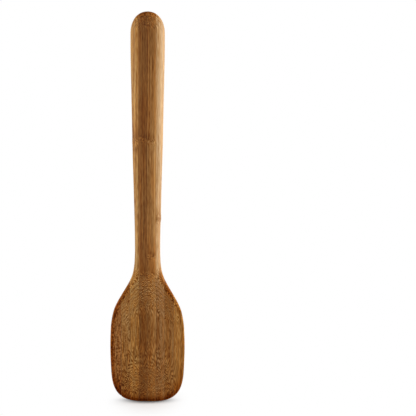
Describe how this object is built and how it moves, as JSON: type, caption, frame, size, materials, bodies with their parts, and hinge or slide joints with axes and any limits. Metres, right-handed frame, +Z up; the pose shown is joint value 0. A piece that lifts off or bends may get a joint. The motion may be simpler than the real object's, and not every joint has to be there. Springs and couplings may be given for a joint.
{
  "type": "serving spoon",
  "caption": "Wooden serving spoon with a deep rounded-oblong bowl, a narrow neck and a straight round-ended handle, carved from upright bamboo strips glued face to face",
  "frame": {"origin": "on the ground, under the middle of the block that the spoon is carved from, with the spoon standing on the foot at the tip of its bowl", "axes": "+Z up along the spoon from the tip of the bowl to the end of the handle, +X across it to the right of someone who looks into the bowl, -Y out of the hollow of the bowl"},
  "size_m": [0.0592, 0.0225, 0.31],
  "materials": {
    "bamboo_dark": "steamed bamboo, oiled satin",
    "bamboo_brown": "steamed bamboo, oiled satin",
    "bamboo_honey": "steamed bamboo, oiled satin",
    "bamboo_rim": "steamed bamboo, oiled satin",
    "glue": "cured glue film, matte"
  },
  "bodies": {
    "root": {"left_rim_strip": "bamboo_rim", "left_outer_strip": "bamboo_brown", "left_inner_strip": "bamboo_honey", "left_core_strip": "bamboo_dark", "right_core_strip": "bamboo_brown", "right_inner_strip": "bamboo_brown", "right_outer_strip": "bamboo_brown", "right_rim_strip": "bamboo_honey", "glue_line_1": "glue", "glue_line_2": "glue", "glue_line_3": "glue", "glue_line_4": "glue", "glue_line_5": "glue", "glue_line_6": "glue", "glue_line_7": "glue"}
  },
  "joints": []
}
